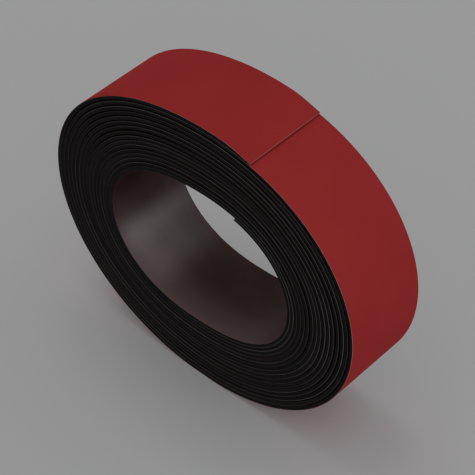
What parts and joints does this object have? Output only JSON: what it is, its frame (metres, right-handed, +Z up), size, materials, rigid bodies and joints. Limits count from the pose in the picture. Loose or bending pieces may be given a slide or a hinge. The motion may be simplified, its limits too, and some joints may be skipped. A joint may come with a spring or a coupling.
{
  "type": "coil of red-faced flexible magnetic strip",
  "caption": "Coreless coil of flexible magnetic strip faced with red vinyl film, standing on its rim, with an outer end that peels and an inner end that curls.",
  "frame": {"origin": "on the standing surface, under the middle of the coil's box", "axes": "+Z up, +Y along the coil's axis towards the back, +X to the right seen from the front"},
  "size_m": [0.0806, 0.02, 0.0698],
  "materials": {
    "magnetic_strip": "near-black ferrite-filled rubber, smooth with a low sheen on its faces, matt where it is slit",
    "adhesive": "thin clear adhesive, dark against the strip",
    "red_film": "flat, matt, even deep red vinyl"
  },
  "bodies": {
    "wound_coil": {"wound_magnet": "magnetic_strip", "wound_adhesive": "adhesive", "wound_film": "red_film"},
    "outer_end_1": {"outer_end_1_magnet": "magnetic_strip", "outer_end_1_adhesive": "adhesive", "outer_end_1_film": "red_film"},
    "outer_end_2": {"outer_end_2_magnet": "magnetic_strip", "outer_end_2_adhesive": "adhesive", "outer_end_2_film": "red_film"},
    "outer_end_3": {"outer_end_3_magnet": "magnetic_strip", "outer_end_3_adhesive": "adhesive", "outer_end_3_film": "red_film"},
    "outer_end_4": {"outer_end_4_magnet": "magnetic_strip", "outer_end_4_adhesive": "adhesive", "outer_end_4_film": "red_film"},
    "outer_end_5": {"outer_end_5_magnet": "magnetic_strip", "outer_end_5_adhesive": "adhesive", "outer_end_5_film": "red_film"},
    "outer_end_6": {"outer_end_6_magnet": "magnetic_strip", "outer_end_6_adhesive": "adhesive", "outer_end_6_film": "red_film"},
    "inner_end_1": {"inner_end_1_magnet": "magnetic_strip", "inner_end_1_adhesive": "adhesive", "inner_end_1_film": "red_film"},
    "inner_end_2": {"inner_end_2_magnet": "magnetic_strip", "inner_end_2_adhesive": "adhesive", "inner_end_2_film": "red_film"},
    "inner_end_3": {"inner_end_3_magnet": "magnetic_strip", "inner_end_3_adhesive": "adhesive", "inner_end_3_film": "red_film"},
    "inner_end_4": {"inner_end_4_magnet": "magnetic_strip", "inner_end_4_adhesive": "adhesive", "inner_end_4_film": "red_film"}
  },
  "joints": [
    {"name": "outer_end_peel", "type": "hinge", "parent": "wound_coil", "child": "outer_end_1", "pos_m": [-0.03646, 0, 0.04995], "axis": [0, -1, 0], "range_deg": [0, 22], "stiffness_Nm_per_rad": 0.005},
    {"name": "outer_end_bend_2", "type": "hinge", "parent": "outer_end_1", "child": "outer_end_2", "pos_m": [-0.03028, 0, 0.0582], "axis": [0, -1, 0], "range_deg": [0, 22], "stiffness_Nm_per_rad": 0.005},
    {"name": "outer_end_bend_3", "type": "hinge", "parent": "outer_end_2", "child": "outer_end_3", "pos_m": [-0.02218, 0, 0.06399], "axis": [0, -1, 0], "range_deg": [0, 22], "stiffness_Nm_per_rad": 0.005},
    {"name": "outer_end_bend_4", "type": "hinge", "parent": "outer_end_3", "child": "outer_end_4", "pos_m": [-0.01334, 0, 0.06762], "axis": [0, -1, 0], "range_deg": [0, 22], "stiffness_Nm_per_rad": 0.005},
    {"name": "outer_end_bend_5", "type": "hinge", "parent": "outer_end_4", "child": "outer_end_5", "pos_m": [-0.00428, 0, 0.06947], "axis": [0, -1, 0], "range_deg": [0, 22], "stiffness_Nm_per_rad": 0.005},
    {"name": "outer_end_bend_6", "type": "hinge", "parent": "outer_end_5", "child": "outer_end_6", "pos_m": [0.00488, 0, 0.06974], "axis": [0, -1, 0], "range_deg": [0, 22], "stiffness_Nm_per_rad": 0.005},
    {"name": "inner_end_curl", "type": "hinge", "parent": "wound_coil", "child": "inner_end_1", "pos_m": [0.02406, 0, 0.0349], "axis": [0, -1, 0], "range_deg": [0, 10], "stiffness_Nm_per_rad": 0.009},
    {"name": "inner_end_bend_2", "type": "hinge", "parent": "inner_end_1", "child": "inner_end_2", "pos_m": [0.0228, 0, 0.04085], "axis": [0, -1, 0], "range_deg": [0, 10], "stiffness_Nm_per_rad": 0.009},
    {"name": "inner_end_bend_3", "type": "hinge", "parent": "inner_end_2", "child": "inner_end_3", "pos_m": [0.01959, 0, 0.04587], "axis": [0, -1, 0], "range_deg": [0, 10], "stiffness_Nm_per_rad": 0.009},
    {"name": "inner_end_bend_4", "type": "hinge", "parent": "inner_end_3", "child": "inner_end_4", "pos_m": [0.01508, 0, 0.04944], "axis": [0, -1, 0], "range_deg": [0, 10], "stiffness_Nm_per_rad": 0.009}
  ],
  "couplings": [
    {"joint": "outer_end_bend_2", "follows": "outer_end_peel", "ratio": 1},
    {"joint": "outer_end_bend_3", "follows": "outer_end_peel", "ratio": 1},
    {"joint": "outer_end_bend_4", "follows": "outer_end_peel", "ratio": 1},
    {"joint": "outer_end_bend_5", "follows": "outer_end_peel", "ratio": 1},
    {"joint": "outer_end_bend_6", "follows": "outer_end_peel", "ratio": 1},
    {"joint": "inner_end_bend_2", "follows": "inner_end_curl", "ratio": 1},
    {"joint": "inner_end_bend_3", "follows": "inner_end_curl", "ratio": 1},
    {"joint": "inner_end_bend_4", "follows": "inner_end_curl", "ratio": 1}
  ]
}
